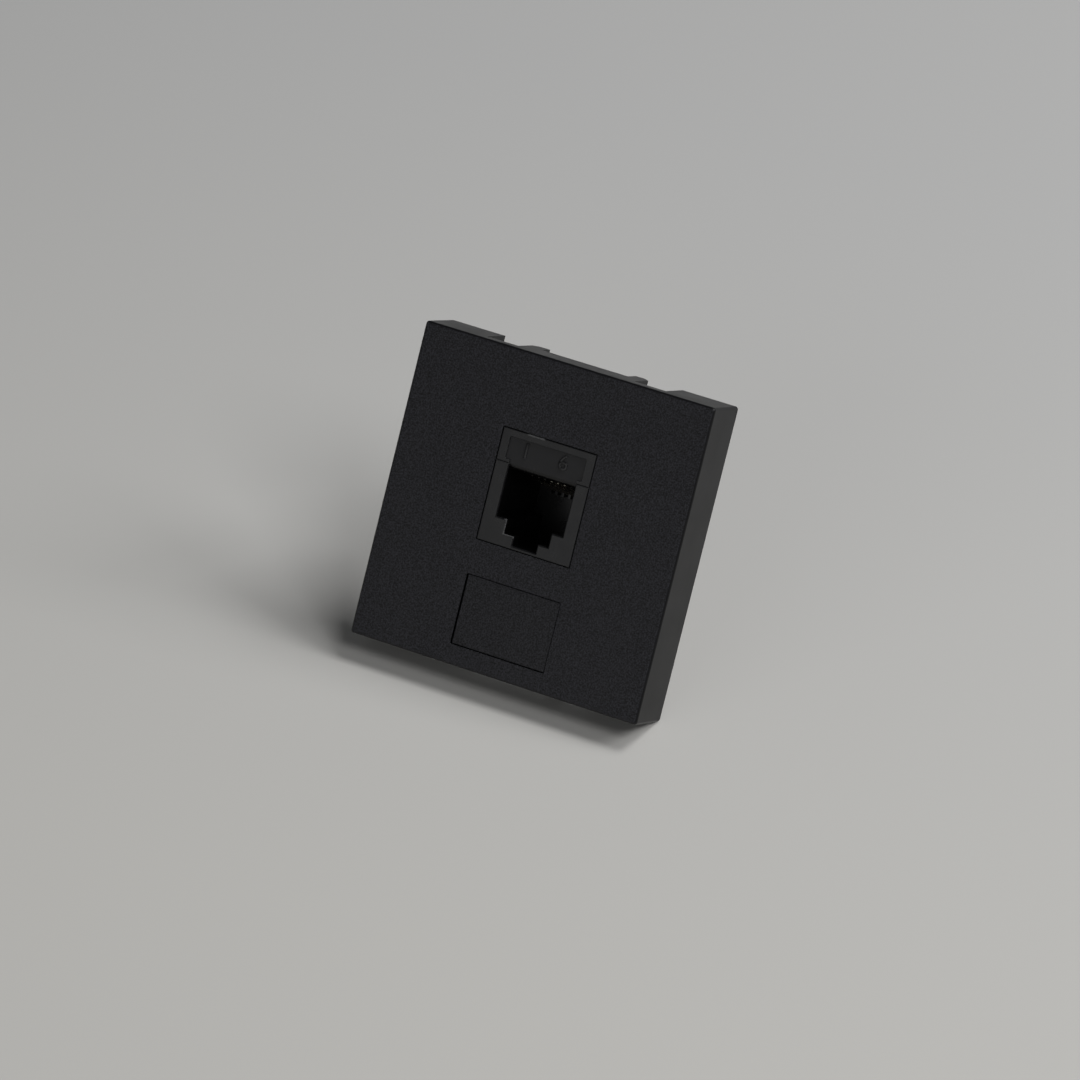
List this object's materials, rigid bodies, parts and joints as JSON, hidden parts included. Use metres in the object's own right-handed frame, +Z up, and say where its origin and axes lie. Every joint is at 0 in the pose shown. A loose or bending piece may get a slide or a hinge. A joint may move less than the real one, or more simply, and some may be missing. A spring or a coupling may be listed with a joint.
{
  "type": "telephone jack module",
  "caption": "Square snap-in module with a modular telephone jack in its face, a blank label cover below it and insulation displacement terminals under pull-off caps at the rear.",
  "frame": {"origin": "centre of the 45 mm square, on the plane of the skirt's rear rim, where the module seats in its mounting frame", "axes": "+X to the right seen from the front, +Y into the wall, +Z up; the face looks along -Y"},
  "size_m": [0.045, 0.0356, 0.045],
  "materials": {
    "plate_plastic": "fine spark-eroded texture, black",
    "label_plastic": "fine spark-eroded texture, black",
    "jack_plastic": "smooth satin, black",
    "contact_gold": "gold-plated spring wire",
    "board_laminate": "green solder mask",
    "block_plastic": "smooth satin, black",
    "blade_metal": "tin-plated bronze",
    "cap_plastic": "smooth satin, black"
  },
  "bodies": {
    "module": {"face_plate": "plate_plastic", "label_cover": "label_plastic", "jack_housing": "jack_plastic", "contact_carrier": "jack_plastic", "contact_wire_1": "contact_gold", "contact_wire_2": "contact_gold", "contact_wire_3": "contact_gold", "contact_wire_4": "contact_gold", "contact_wire_5": "contact_gold", "contact_wire_6": "contact_gold", "circuit_board": "board_laminate", "terminal_block": "block_plastic", "terminal_blade_lower_1": "blade_metal", "terminal_blade_lower_2": "blade_metal", "terminal_blade_lower_3": "blade_metal", "terminal_blade_upper_1": "blade_metal", "terminal_blade_upper_2": "blade_metal", "terminal_blade_upper_3": "blade_metal"},
    "cap_lower": {"terminal_cap_lower": "cap_plastic"},
    "cap_upper": {"terminal_cap_upper": "cap_plastic"}
  },
  "joints": [
    {"name": "cap_lower_pull", "type": "slide", "parent": "module", "child": "cap_lower", "axis": [0, 1, 0], "range_m": [0, 0.012]},
    {"name": "cap_upper_pull", "type": "slide", "parent": "module", "child": "cap_upper", "axis": [0, 1, 0], "range_m": [0, 0.012]}
  ]
}
